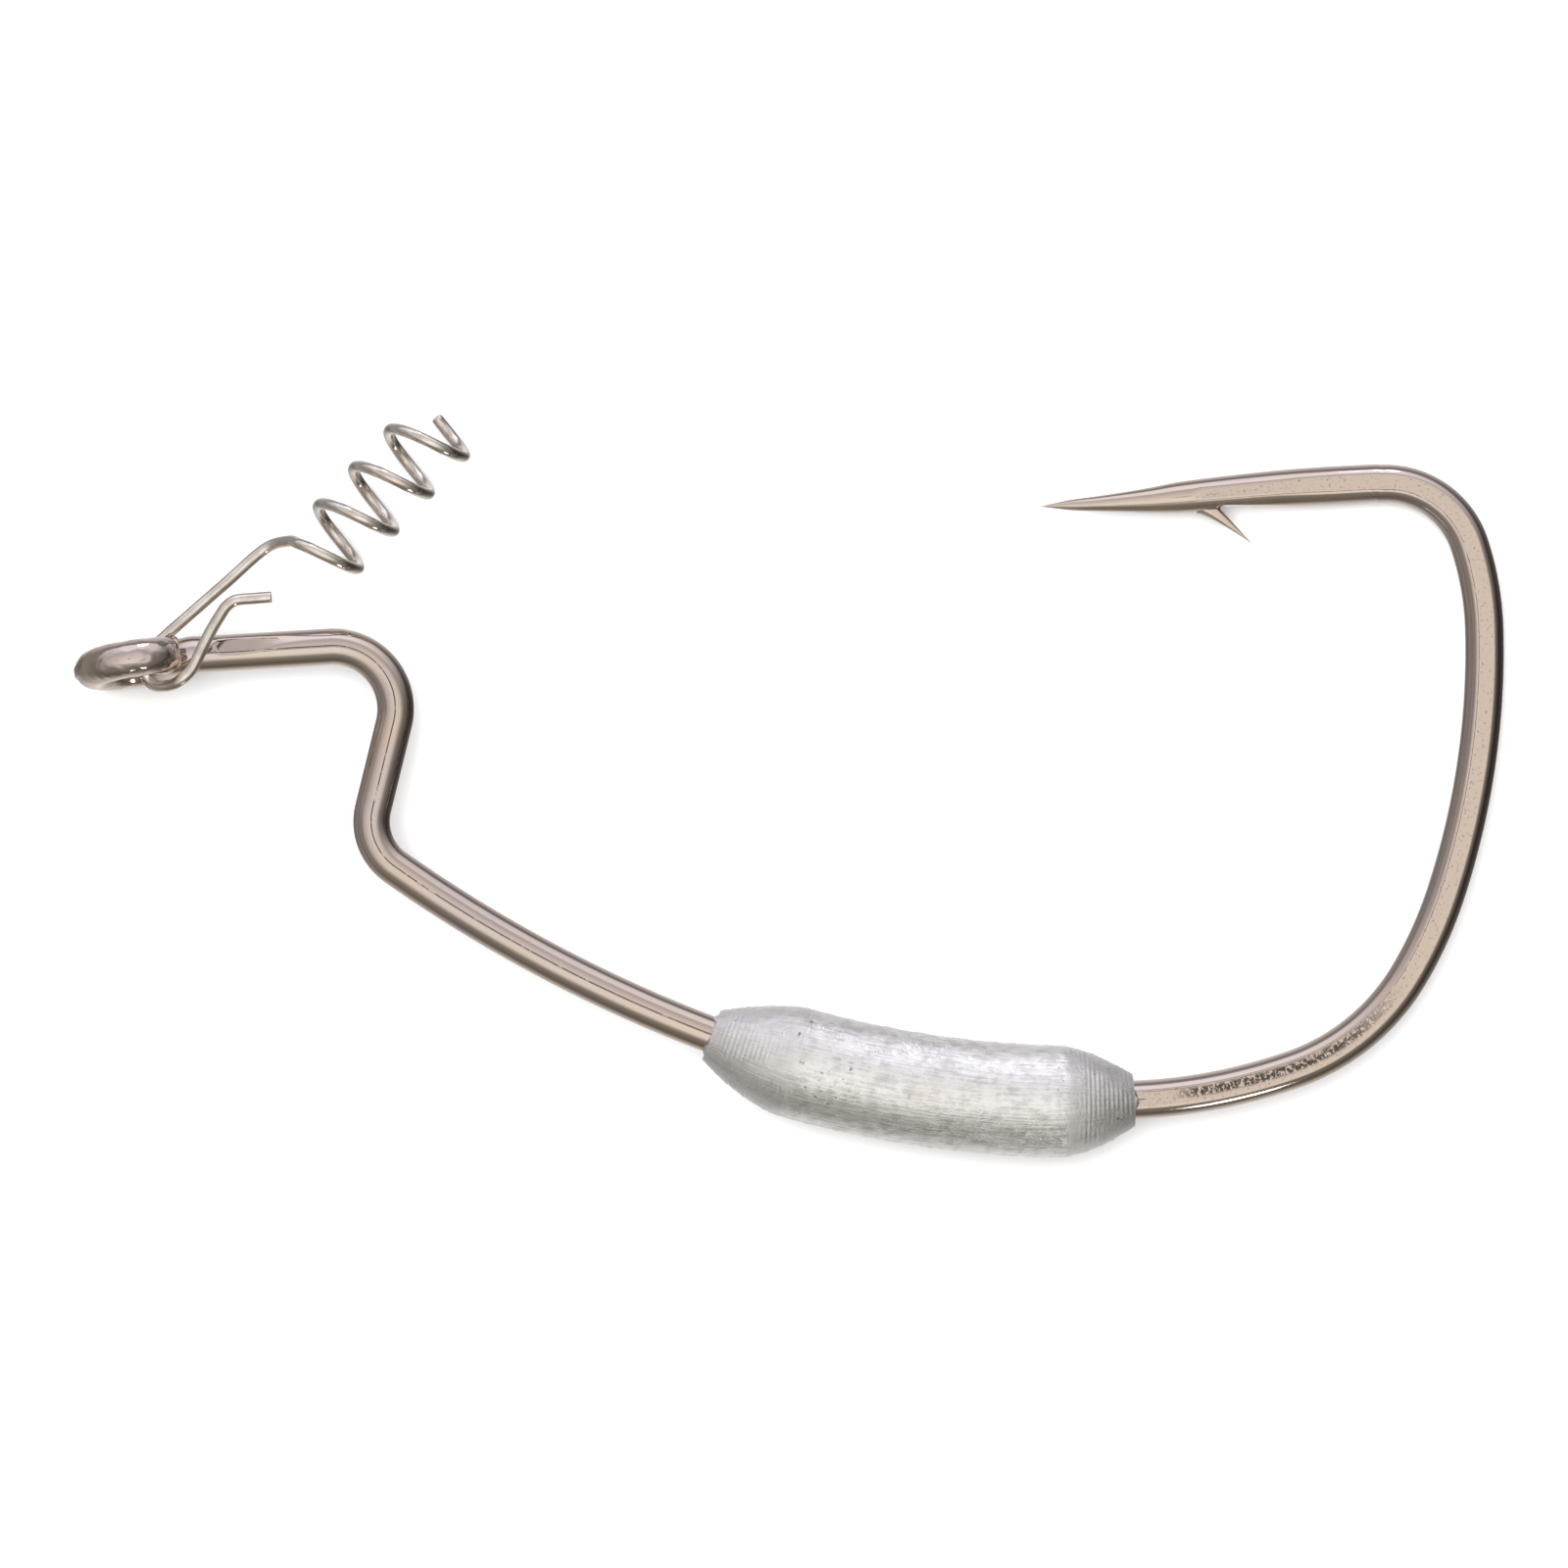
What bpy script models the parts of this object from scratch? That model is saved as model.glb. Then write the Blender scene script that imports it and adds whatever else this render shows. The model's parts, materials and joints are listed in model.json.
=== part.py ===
"""Weighted soft-bait hook: a forged wire hook, a cast belly weight and a screw-lock spring keeper.

The hook is drawn flat, in its own plane, in millimetres: x runs from the eye to the bend, y runs from
the shank to the point, and z comes out of that plane. Its origin is the centre of the eye. An empty
then lays the whole thing on its side, resting on the eye, the weight and the top of the bend.
"""

from math import cos, pi, radians, sin, sqrt

import bmesh
import bpy
from mathutils import Matrix, Vector

MM = 0.001

# Hook wire
WIRE_RADIUS = 0.975
FORGED_RADIUS = 1.025  # the wire spreads in its plane where it is pressed
FORGED_HALF_THICKNESS = 0.92  # half the distance between the two pressed flats
FORGED_FROM_X = 54.6

# Eye
EYE_RADIUS = 2.13  # centre of the ring to the centre of its wire
EYE_SLOPE = 9.0  # degrees, the ring's long axis in the hook's plane
EYE_TILT = 4.0  # degrees, the ring's near side raised towards the point
EYE_NECK_RADIUS = 1.5  # the small bend that leads the neck into the ring
EYE_CLOSES_AT = -309.0  # degrees round the ring, where the cut end stops beside the neck
NECK_START = (3.7, 0.51)
NECK_HEADING = 3.5

# The shank and bend as a wire bender would make them: (radius, degrees turned), or a straight length
SHOULDER_PROGRAMME = (6.7, (3.3, -107.1), 4.64, (2.95, 68.5), (76.0, 13.8))
WEIGHT_ARC = (55.3, 25.05)
BEND_PROGRAMME = (
    (29.7, 15.4),
    (11.6, 39.8),
    (21.6, 12.5),
    (41.5, 19.8),
    (16.0, 16.5),
    (4.7, 76.0),
)

# Ground point: centre x, centre y and radius, from the full wire to the tip
POINT_TAPER = (
    (63.0, 9.53, 1.025),
    (60.6, 9.38, 0.98),
    (57.7, 9.13, 0.91),
    (55.5, 8.92, 0.83),
    (54.1, 8.78, 0.69),
    (52.6, 8.67, 0.54),
    (51.2, 8.58, 0.41),
    (49.7, 8.50, 0.28),
    (48.15, 8.43, 0.03),
)
BARB_ROOT = (56.7, 8.65)
BARB_TIP = (59.25, 6.6)
BARB_RADIUS = 0.5
BARB_NOTCH_Y = 8.48  # the cut that lifts the barb leaves the wire flat here
BARB_NOTCH_X = (57.4, 64.5)

# Cast belly weight
WEIGHT_RADIUS = 2.94
WEIGHT_END_RADIUS = 1.40
WEIGHT_FRONT_TAPER = 5.5
WEIGHT_REAR_TAPER = 4.7
WEIGHT_INSET = 0.7  # how far its ends stop inside the arc it is cast round
TAPER_POWER = 1.85
CASTING_GAP = 0.15

# Screw-lock keeper
KEEPER_RADIUS = 0.315
COIL_RADIUS = 1.9
COIL_PITCH = 2.73
COIL_HEADING = 46.8
COIL_LEAN = 0.17  # how far the turns lean along the coil's axis
COIL_AXIS_START = (10.37, 6.24, 0.24)
COIL_TURNS = (-0.42, 3.31)  # counted from the first turn's lowest point
KEEPER_LEG = (
    (7.39, 3.41, 2.01),
    (6.40, 3.33, 1.98),
    (5.50, 3.24, 1.94),
    (5.00, 2.92, 1.90),
    (4.69, 2.48, 1.87),
    (4.25, 1.76, 1.84),
    (3.79, 0.87, 1.80),
    (3.21, -0.33, 1.75),
    (2.63, -0.93, 1.66),
    (2.08, -1.20, 1.32),
    (1.30, -1.22, 0.72),
    (0.78, -0.88, 0.20),
    (0.62, -0.26, -0.04),
    (0.88, 0.62, 0.22),
    (1.61, 1.35, 0.42),
    (2.77, 2.39, 0.40),
    (4.84, 4.22, 0.30),
    (6.97, 6.10, 0.24),
)
KEEPER_PIVOT = (2.01, 0.57, 1.02)
KEEPER_AXIS = (0.53, -0.24, -0.81)

# How it lies: rolled about the line from the eye to the weight until the bend's top comes down
ROLL = -3.2
ROLL_LINE = (43.0, -21.8, 0.0)

ARC_STEP = 7.0  # degrees between the points of an arc


def start_scene():
    for thing in list(bpy.data.objects):
        bpy.data.objects.remove(thing, do_unlink=True)
    scene = bpy.context.scene
    cutters = bpy.data.collections.new("cutters")
    scene.collection.children.link(cutters)
    return scene.collection, cutters


def principled(name, colour, roughness, metallic):
    material = bpy.data.materials.new(name)
    material.use_nodes = True
    shader = material.node_tree.nodes["Principled BSDF"]
    shader.inputs["Base Color"].default_value = (*colour, 1.0)
    shader.inputs["Roughness"].default_value = roughness
    shader.inputs["Metallic"].default_value = metallic
    material.diffuse_color = (*colour, 1.0)
    return material


def bend_wire(start, heading, programme):
    """Points along straight lengths and (radius, degrees) bends, then the heading at the end."""
    position = Vector((start[0], start[1], 0.0))
    angle = radians(heading)
    points = [position.copy()]
    for step in programme:
        if not isinstance(step, tuple):
            position = position + Vector((cos(angle), sin(angle), 0.0)) * step
            points.append(position.copy())
            continue
        radius, degrees = step
        side = 1.0 if degrees > 0 else -1.0
        to_centre = Vector((-sin(angle), cos(angle), 0.0)) * radius * side
        centre = position + to_centre
        count = max(3, round(abs(degrees) / ARC_STEP))
        for index in range(1, count + 1):
            turned = Matrix.Rotation(radians(degrees) * index / count, 3, "Z")
            points.append(centre - turned @ to_centre)
        position = points[-1].copy()
        angle += radians(degrees)
    return points, angle * 180 / pi


def smooth_line(points, steps):
    """A Catmull-Rom line through the points."""
    points = [Vector(point) for point in points]
    ends = [points[0] * 2 - points[1]] + points + [points[-1] * 2 - points[-2]]
    line = [points[0]]
    for before, first, second, after in zip(ends, ends[1:], ends[2:], ends[3:]):
        for index in range(1, steps + 1):
            t = index / steps
            line.append(
                0.5
                * (
                    2 * first
                    + (second - before) * t
                    + (2 * before - 5 * first + 4 * second - after) * t**2
                    + (3 * first - before - 3 * second + after) * t**3
                )
            )
    return line


def tube(name, collection, points, radii, parent, sides=2):
    """A round solid along the points, as a mesh ready for Booleans."""
    curve = bpy.data.curves.new(name, "CURVE")
    curve.dimensions = "3D"
    curve.bevel_depth = MM
    curve.bevel_resolution = sides
    curve.use_fill_caps = True
    spline = curve.splines.new("POLY")
    spline.points.add(len(points) - 1)
    for knot, point, radius in zip(spline.points, points, radii):
        knot.co = (*(Vector(point) * MM), 1.0)
        knot.radius = radius
    drawn = bpy.data.objects.new(name + "_curve", curve)
    collection.objects.link(drawn)
    bpy.context.view_layer.update()
    evaluated = drawn.evaluated_get(bpy.context.evaluated_depsgraph_get())
    mesh = bpy.data.meshes.new_from_object(evaluated)
    bpy.data.objects.remove(drawn, do_unlink=True)
    shape = bmesh.new()
    shape.from_mesh(mesh)
    bmesh.ops.remove_doubles(shape, verts=shape.verts, dist=1e-7)
    bmesh.ops.recalc_face_normals(shape, faces=shape.faces)
    shape.to_mesh(mesh)
    shape.free()
    mesh.name = name
    solid = bpy.data.objects.new(name, mesh)
    collection.objects.link(solid)
    solid.parent = parent
    return solid


def as_cutter(thing):
    thing.hide_render = True
    thing.display_type = "WIRE"
    return thing


def block(name, collection, low, high, parent):
    mesh = bpy.data.meshes.new(name)
    shape = bmesh.new()
    bmesh.ops.create_cube(shape, size=1.0)
    size = [(b - a) * MM for a, b in zip(low, high)]
    middle = [(a + b) * MM / 2 for a, b in zip(low, high)]
    bmesh.ops.scale(shape, vec=size, verts=shape.verts)
    bmesh.ops.translate(shape, vec=middle, verts=shape.verts)
    shape.to_mesh(mesh)
    shape.free()
    thing = bpy.data.objects.new(name, mesh)
    collection.objects.link(thing)
    thing.parent = parent
    return as_cutter(thing)


def boolean(target, operand, operation):
    modifier = target.modifiers.new(operand.name, "BOOLEAN")
    modifier.operation = operation
    modifier.solver = "EXACT"
    modifier.object = operand


def eye_axes():
    slope, tilt = radians(EYE_SLOPE), radians(EYE_TILT)
    along = Vector((cos(slope), sin(slope), 0.0))
    near = Vector((0.0, sin(tilt), cos(tilt)))
    near = (near - along * near.dot(along)).normalized()
    return along, near


def eye_points():
    """From the neck's end, away from the viewer, round the ring and back beside the neck."""
    along, near = eye_axes()
    neck_x = sqrt(EYE_RADIUS**2 + 2 * EYE_RADIUS * EYE_NECK_RADIUS)
    meets = math_angle(EYE_NECK_RADIUS, neck_x)
    points = []
    for index in range(1, 6):
        turn = (90.0 - meets) * index / 6
        x = neck_x - EYE_NECK_RADIUS * sin(radians(turn))
        z = EYE_NECK_RADIUS * (cos(radians(turn)) - 1.0)
        points.append(along * x + near * z)
    count = 22
    for index in range(count + 1):
        turn = radians(-meets + (EYE_CLOSES_AT + meets) * index / count)
        points.append((along * cos(turn) + near * sin(turn)) * EYE_RADIUS)
    return points


def math_angle(opposite, adjacent):
    return Vector((adjacent, opposite)).angle(Vector((1.0, 0.0))) * 180 / pi


def shank_points():
    shoulder, heading = bend_wire(NECK_START, NECK_HEADING, SHOULDER_PROGRAMME)
    covered, heading_after = bend_wire(shoulder[-1], heading, (WEIGHT_ARC,))
    bend, _ = bend_wire(covered[-1], heading_after, BEND_PROGRAMME)
    return shoulder, (covered, heading), bend


def hook_line():
    shoulder, (covered, _), bend = shank_points()
    line = [(point, WIRE_RADIUS) for point in reversed(eye_points())]
    line += [(point, WIRE_RADIUS) for point in shoulder + covered[1:]]
    line += [(point, FORGED_RADIUS) for point in bend[1:]]
    line += [(Vector((x, y, 0.0)), radius) for x, y, radius in POINT_TAPER]
    return line


def make_hook(parts, cutters, parent, material):
    line = hook_line()
    hook = tube("hook", parts, [p for p, _ in line], [r for _, r in line], parent, sides=4)
    reach = 90.0
    for side, name in ((1, "near_flat"), (-1, "far_flat")):
        faces = sorted((side * FORGED_HALF_THICKNESS, side * 3.0))
        low = (FORGED_FROM_X, -reach, faces[0])
        high = (reach, reach, faces[1])
        boolean(hook, block(name, cutters, low, high, parent), "DIFFERENCE")
    low = (BARB_NOTCH_X[0], BARB_NOTCH_Y - 2.0, -3.0)
    high = (BARB_NOTCH_X[1], BARB_NOTCH_Y, 3.0)
    boolean(hook, block("barb_notch", cutters, low, high, parent), "DIFFERENCE")
    root, tip = Vector((*BARB_ROOT, 0.0)), Vector((*BARB_TIP, 0.0))
    barb = tube("barb", cutters, [root, tip], [BARB_RADIUS, 0.05], parent)
    boolean(hook, as_cutter(barb), "UNION")
    hook.data.materials.append(material)
    return hook


def weight_profile():
    """Points along the arc under the weight, and the casting's radius at each."""
    _, (covered, heading), _ = shank_points()
    radius, degrees = WEIGHT_ARC
    length = radius * radians(degrees)
    inset = WEIGHT_INSET / length
    start = covered[0]
    centre = start + Vector((-sin(radians(heading)), cos(radians(heading)), 0.0)) * radius
    count = 40
    points, radii = [], []
    for index in range(count + 1):
        share = inset + (1.0 - 2 * inset) * index / count
        turned = Matrix.Rotation(radians(degrees) * share, 3, "Z")
        points.append(centre + turned @ (start - centre))
        from_front = (share - inset) * length / WEIGHT_FRONT_TAPER
        from_rear = (1.0 - inset - share) * length / WEIGHT_REAR_TAPER
        rise = 1.0 - max(0.0, 1.0 - min(from_front, from_rear)) ** TAPER_POWER
        radii.append(WEIGHT_END_RADIUS + (WEIGHT_RADIUS - WEIGHT_END_RADIUS) * rise)
    return points, radii


def make_weight(parts, cutters, parent, material):
    points, radii = weight_profile()
    weight = tube("belly_weight", parts, points, radii, parent, sides=10)
    before = points[0] * 2 - points[1]
    after = points[-1] * 2 - points[-2]
    through = [before, *points, after]
    bore = tube(
        "weight_bore", cutters, through, [WIRE_RADIUS + CASTING_GAP] * len(through), parent, sides=4
    )
    boolean(weight, as_cutter(bore), "DIFFERENCE")
    weight.data.materials.append(material)
    return weight


def coil_points():
    heading = radians(COIL_HEADING)
    along = Vector((cos(heading), sin(heading), 0.0))
    across = Vector((sin(heading), -cos(heading), 0.0))
    first, last = COIL_TURNS
    count = 72
    points = []
    for index in range(count + 1):
        turns = first + (last - first) * index / count
        angle = 2 * pi * turns
        advance = COIL_PITCH * turns + COIL_LEAN * cos(angle)
        point = Vector(COIL_AXIS_START) + along * advance
        point += across * COIL_RADIUS * cos(angle)
        point.z -= COIL_RADIUS * sin(angle)
        points.append(point)
    return points


def make_keeper(parts, parent, material):
    pivot = bpy.data.objects.new("keeper_pivot", None)
    parts.objects.link(pivot)
    pivot.parent = parent
    pivot.location = Vector(KEEPER_PIVOT) * MM
    coil = coil_points()
    leg = smooth_line([*KEEPER_LEG, *coil[:2]], 4)
    points = [point - Vector(KEEPER_PIVOT) for point in leg + coil[2:]]
    keeper = tube("keeper_spring", parts, points, [KEEPER_RADIUS] * len(points), pivot)
    keeper.data.materials.append(material)
    return keeper


def lay_down(parts):
    """The empty that all parts hang from: rolled, then set with the box's bottom centre at the origin."""
    rest = bpy.data.objects.new("laid_on_its_side", None)
    parts.objects.link(rest)
    rest.matrix_world = Matrix.Rotation(radians(ROLL), 4, Vector(ROLL_LINE))
    return rest


def centre_on_floor(rest, solids):
    bpy.context.view_layer.update()
    graph = bpy.context.evaluated_depsgraph_get()
    corners = []
    for solid in solids:
        shape = solid.evaluated_get(graph)
        corners += [shape.matrix_world @ vertex.co for vertex in shape.data.vertices]
    low = [min(corner[axis] for corner in corners) for axis in range(3)]
    high = [max(corner[axis] for corner in corners) for axis in range(3)]
    rest.location = (-(low[0] + high[0]) / 2, -(low[1] + high[1]) / 2, -low[2])
    bpy.context.view_layer.update()


def main():
    parts, cutters = start_scene()
    black_nickel = principled("black_nickel", (0.30, 0.25, 0.22), 0.22, 1.0)
    cast_lead = principled("cast_lead", (0.62, 0.61, 0.60), 0.35, 1.0)
    stainless = principled("stainless_wire", (0.60, 0.56, 0.51), 0.18, 1.0)
    rest = lay_down(parts)
    hook = make_hook(parts, cutters, rest, black_nickel)
    weight = make_weight(parts, cutters, rest, cast_lead)
    keeper = make_keeper(parts, rest, stainless)
    centre_on_floor(rest, (hook, weight, keeper))


main()
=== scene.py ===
"""The looks of a weighted soft-bait hook: black nickel wire, a cast lead weight and a stainless keeper.

Shapes are worked out in millimetres in the hook's own plane, as a wire bender would: x from the eye to
the bend, y from the shank to the point, z out of the plane. They are then laid where the frame lies.
"""

import json
from math import acos, atan2, cos, degrees, pi, radians, sin, sqrt

import bpy
from mathutils import Matrix, Vector, noise

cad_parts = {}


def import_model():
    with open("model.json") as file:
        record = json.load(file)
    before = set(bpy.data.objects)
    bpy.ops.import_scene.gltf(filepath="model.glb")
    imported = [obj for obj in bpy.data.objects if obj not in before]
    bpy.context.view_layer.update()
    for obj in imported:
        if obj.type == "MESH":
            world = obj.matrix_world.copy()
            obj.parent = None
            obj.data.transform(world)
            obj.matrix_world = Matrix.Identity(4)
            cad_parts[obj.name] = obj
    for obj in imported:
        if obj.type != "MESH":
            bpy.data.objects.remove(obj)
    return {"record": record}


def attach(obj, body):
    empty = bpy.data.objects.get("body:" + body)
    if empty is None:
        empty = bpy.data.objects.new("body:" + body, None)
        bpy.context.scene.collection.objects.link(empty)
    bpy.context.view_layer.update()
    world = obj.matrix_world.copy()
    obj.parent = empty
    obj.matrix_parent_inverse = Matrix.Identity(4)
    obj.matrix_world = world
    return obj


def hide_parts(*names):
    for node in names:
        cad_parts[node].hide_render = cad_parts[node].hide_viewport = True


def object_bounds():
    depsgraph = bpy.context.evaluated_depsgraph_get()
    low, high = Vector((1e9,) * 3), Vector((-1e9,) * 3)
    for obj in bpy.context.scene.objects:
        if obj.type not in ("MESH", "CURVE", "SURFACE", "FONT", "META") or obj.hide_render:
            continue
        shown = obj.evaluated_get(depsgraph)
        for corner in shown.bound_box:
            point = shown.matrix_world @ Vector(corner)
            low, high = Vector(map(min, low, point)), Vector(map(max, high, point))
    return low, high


MM = 0.001

# the third mark is a crease in the flat on the bend and spear, and on the round shank a thin dark line of
# painted reflection
HOOK_MARKS = ("pressed", "worn", "creased")  # what the hook's mesh carries for its finish

# Hook wire, in millimetres
WIRE_RADIUS = 0.975
FORGED_RADIUS = 1.025
FORGED_HALF_THICKNESS = 0.92
EDGE_SOFTNESS = 0.045  # how rounded the pressed flats' edges are
CREASE_TURN = 112.0  # degrees round the wire, where the die left a crease along the flat
# degrees round the wire, where a thin dark line is painted along the middle of the round shank: a painted
# reflection of the dark band the polished wire mirrors there
SHANK_PAINTED_LINE_TURN = 90.0
CREASE_HALF_WIDTH = 2.2  # degrees
PITTED_X = (54.8, 56.4, 63.6, 67.8)  # the flat's worst pits come and go between these
PITTED_TURN = 96.0  # degrees round the wire, the middle of the pitted band
PITTED_FADE = (8.0, 19.0)

# Eye
EYE_RADIUS = 2.13
EYE_SLOPE = 9.0
EYE_TILT = 4.0
EYE_NECK_RADIUS = 1.5
EYE_STRAIGHT_FROM = 50.0  # degrees round the eye where the last of the wire runs straight
EYE_STRAIGHT = 1.1
EYE_STEPS = 110
EYE_STRAIGHT_STEPS = 16
EYE_DENTS = 0.028
NUB_REACH = (0.72, 0.80)  # past the ring's centre line, where the nub at the eye's far end rises
NUB_HALF_WIDTH = (0.26, 0.34)
NUB_HEIGHT = 0.07
CUT_FACE = ((2.1, 2.35), (3.15, 1.02))  # the sheared face, along the eye and towards its near side
CUT_REST = 0.66  # slope of the thinned side, which leaves the keeper room to swing
CUT_STATIONS = 34  # how many of the wire's last sections the shear can reach
CUT_STEP = (16, 20)  # of those, between which the face steps down
CUT_STEP_DEPTH = 0.03
CUT_ROUGHNESS = 0.02
NECK_START = (3.7, 0.51)
NECK_HEADING = 3.5
NECK_LAND = (4.33, 9.6)  # the pressed land on the neck, from and to in x
NECK_LAND_TURN = (73.0, 62.0)  # degrees round the wire, where the land faces at each end
NECK_LAND_DEPTH = (0.865, 0.99)  # from the wire's middle to the land, at each end
NECK_LAND_HALF_WIDTH = 0.54
NECK_LAND_ROUNDING = 0.55  # length of the land's round end
NECK_LAND_CLEAR = 0.02  # what the limit stands clear of the round wire elsewhere
NECK_LAND_BELOW_Y = 1.5  # only the neck has the land, not the shank beyond the shoulder

# Bends as (radius, degrees turned), straight lengths as one number
SHOULDER_PROGRAMME = (6.7, (3.3, -107.1), 4.64, (2.95, 68.5), (76.0, 13.8))
WEIGHT_ARC = (55.3, 25.05)
BEND_PROGRAMME = (
    (29.7, 15.4),
    (11.6, 39.8),
    (21.6, 12.5),
    (41.5, 19.8),
    (16.0, 16.5),
    (4.7, 76.0),
)

# Ground point: x, y and radius
POINT_TAPER = (
    (66.0, 9.69, 1.025),
    (63.0, 9.53, 1.025),
    (60.6, 9.38, 0.98),
    (57.7, 9.13, 0.91),
    (55.5, 8.92, 0.83),
    (54.1, 8.78, 0.69),
    (52.6, 8.67, 0.54),
    (51.2, 8.58, 0.41),
    (49.7, 8.50, 0.28),
    (48.15, 8.43, 0.02),
)
FLAT_ENDS_X = (56.1, 56.5)  # the flats stop short of the ground point
FLAT_SHARE = 0.94  # of the wire's radius, where it is too thin for the full flat
BARB_ROOT = (56.81, 8.57)
BARB_TIP = (59.4, 6.42)
BARB_HALF_WIDTH = 0.46
BARB_HALF_THICKNESS = 0.42
BARB_TIP_RADIUS = 0.008
BARB_NOTCH_Y = 8.47
BARB_NOTCH_X = (57.3, 57.75)

# Cast weight
WEIGHT_RADIUS = 2.94
WEIGHT_END_RADIUS = 1.36
WEIGHT_FRONT_TAPER = 5.5
WEIGHT_REAR_TAPER = 4.7
WEIGHT_INSET = 0.7
TAPER_POWER = 1.85
NOSE_CREASE = 1.05  # how abruptly each nose meets the body: 1 is not at all
RING_PITCH = 0.25
RING_DEPTH = 0.0042
RIDGE_HEIGHT = 0.045
SKIN_HEIGHT = 0.022
FLASH_THICKNESS = 0.17
FLASH_LEAST = 0.012

# Keeper
KEEPER_RADIUS = 0.315
KEEPER_END_SHARE = 0.8  # of the radius, where the cut ends are broken back
COIL_RADIUS = 1.9
COIL_PITCH = 2.73
COIL_HEADING = 46.8
COIL_LEAN = 0.17
COIL_AXIS_START = (10.37, 6.24, 0.24)
COIL_TURNS = (-0.42, 3.31)
KEEPER_LEG = (
    (7.39, 3.41, 2.01),
    (6.40, 3.33, 1.98),
    (5.50, 3.24, 1.94),
    (5.00, 2.92, 1.90),
    (4.69, 2.48, 1.87),
    (4.25, 1.76, 1.84),
    (3.79, 0.87, 1.80),
    (3.21, -0.33, 1.75),
    (2.63, -0.93, 1.66),
    (2.08, -1.20, 1.32),
    (1.30, -1.22, 0.72),
    (0.78, -0.88, 0.20),
    (0.62, -0.26, -0.04),
    (0.88, 0.62, 0.22),
    (1.61, 1.35, 0.42),
    (2.77, 2.39, 0.40),
    (4.84, 4.22, 0.30),
    (6.97, 6.10, 0.24),
)
KEEPER_PIVOT = (2.01, 0.57, 1.02)

# How the hook lies, rolled about a line from the eye to the bend
ROLL = -3.2
ROLL_LINE = (43.0, -21.8, 0.0)

# Studio, in metres
CAMERA_HEIGHT = 0.45
CAMERA_SENSOR = 36.0
FRAME_TO_OBJECT = 1.0959  # the picture's width over the object's length
CAMERA_TO_LEFT = 0.0045  # of the picture's width
FLOOR_REACH = 3.0
OVERHEAD_SIZE = 0.9
OVERHEAD_POWER = 10.0
OVERHEAD_PLACE = (-0.12, 0.15, 0.75)


# ---------------------------------------------------------------- node trees


class Out:
    """One socket's output, with the arithmetic that trees here are written in."""

    def __init__(self, tree, socket):
        self.tree = tree
        self.socket = socket

    def _math(self, operation, first, second):
        return self.tree.node("ShaderNodeMath", {"operation": operation}, {0: first, 1: second})

    def __add__(self, other):
        return self._math("ADD", self, other)

    def __sub__(self, other):
        return self._math("SUBTRACT", self, other)

    def __rsub__(self, other):
        return self._math("SUBTRACT", other, self)

    def __mul__(self, other):
        return self._math("MULTIPLY", self, other)

    def __truediv__(self, other):
        return self._math("DIVIDE", self, other)

    def __pow__(self, other):
        return self._math("POWER", self, other)

    def at_least(self, other):
        return self._math("MAXIMUM", self, other)

    def at_most(self, other):
        return self._math("MINIMUM", self, other)

    __radd__ = __add__
    __rmul__ = __mul__


class Tree:
    """A node tree and the one method that adds nodes to it."""

    def __init__(self, tree):
        self.tree = tree
        tree.nodes.clear()

    def node(self, kind, settings=None, inputs=None, output=0):
        made = self.tree.nodes.new(kind)
        for name, value in (settings or {}).items():
            if name == "stops":
                self._stops(made.color_ramp, value)
            elif name == "capture":
                made.capture_items.new(*value)
            else:
                setattr(made, name, value)
        for key, value in (inputs or {}).items():
            if isinstance(value, Out):
                self.tree.links.new(value.socket, made.inputs[key])
            else:
                made.inputs[key].default_value = value
        return Out(self, made.outputs[output]) if made.outputs else made

    def also(self, first, output):
        """Another output of the node that a value came from."""
        return Out(self, first.socket.node.outputs[output])

    def smooth(self, value, low, high):
        return self.node(
            "ShaderNodeMapRange",
            {"interpolation_type": "SMOOTHSTEP"},
            {"Value": value, "From Min": low, "From Max": high},
        )

    def mix(self, amount, first, second):
        return self.node(
            "ShaderNodeMix",
            {"data_type": "RGBA"},
            {"Factor": amount, 6: first, 7: second},
            output=2,
        )

    @staticmethod
    def _stops(ramp, stops):
        while len(ramp.elements) < len(stops):
            ramp.elements.new(1.0)
        for element, (position, colour) in zip(ramp.elements, stops):
            element.position = position
            element.color = colour


def grey(value):
    return (value, value, value, 1.0)


# ---------------------------------------------------------------- finishes


def metal(name):
    material = bpy.data.materials.new(name)
    material.use_nodes = True
    tree = Tree(material.node_tree)
    return material, tree


def finish_metal(tree, colour, roughness, bump, metallic=1.0):
    inputs = {"Base Color": colour, "Roughness": roughness, "Metallic": metallic, "Normal": bump}
    shader = tree.node("ShaderNodeBsdfPrincipled", None, inputs)
    tree.node("ShaderNodeOutputMaterial", None, {"Surface": shader})


def stretched(tree, coordinates, scale):
    return tree.node("ShaderNodeMapping", None, {"Vector": coordinates, "Scale": scale})


def turned(tree, coordinates, angle, scale):
    """Coordinates turned about the vertical, then stretched."""
    settings = {"vector_type": "TEXTURE"}
    inputs = {"Vector": coordinates, "Rotation": (0.0, 0.0, radians(angle))}
    return stretched(tree, tree.node("ShaderNodeMapping", settings, inputs), scale)


def noise_at(tree, coordinates, scale, detail=4.0, roughness=0.55):
    settings = {"noise_dimensions": "3D"}
    inputs = {"Vector": coordinates, "Scale": scale, "Detail": detail, "Roughness": roughness}
    return tree.node("ShaderNodeTexNoise", settings, inputs)


def carried(tree, name):
    """A value that the mesh carries at each of its points."""
    return tree.node("ShaderNodeAttribute", {"attribute_name": name}, output=2)


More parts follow.
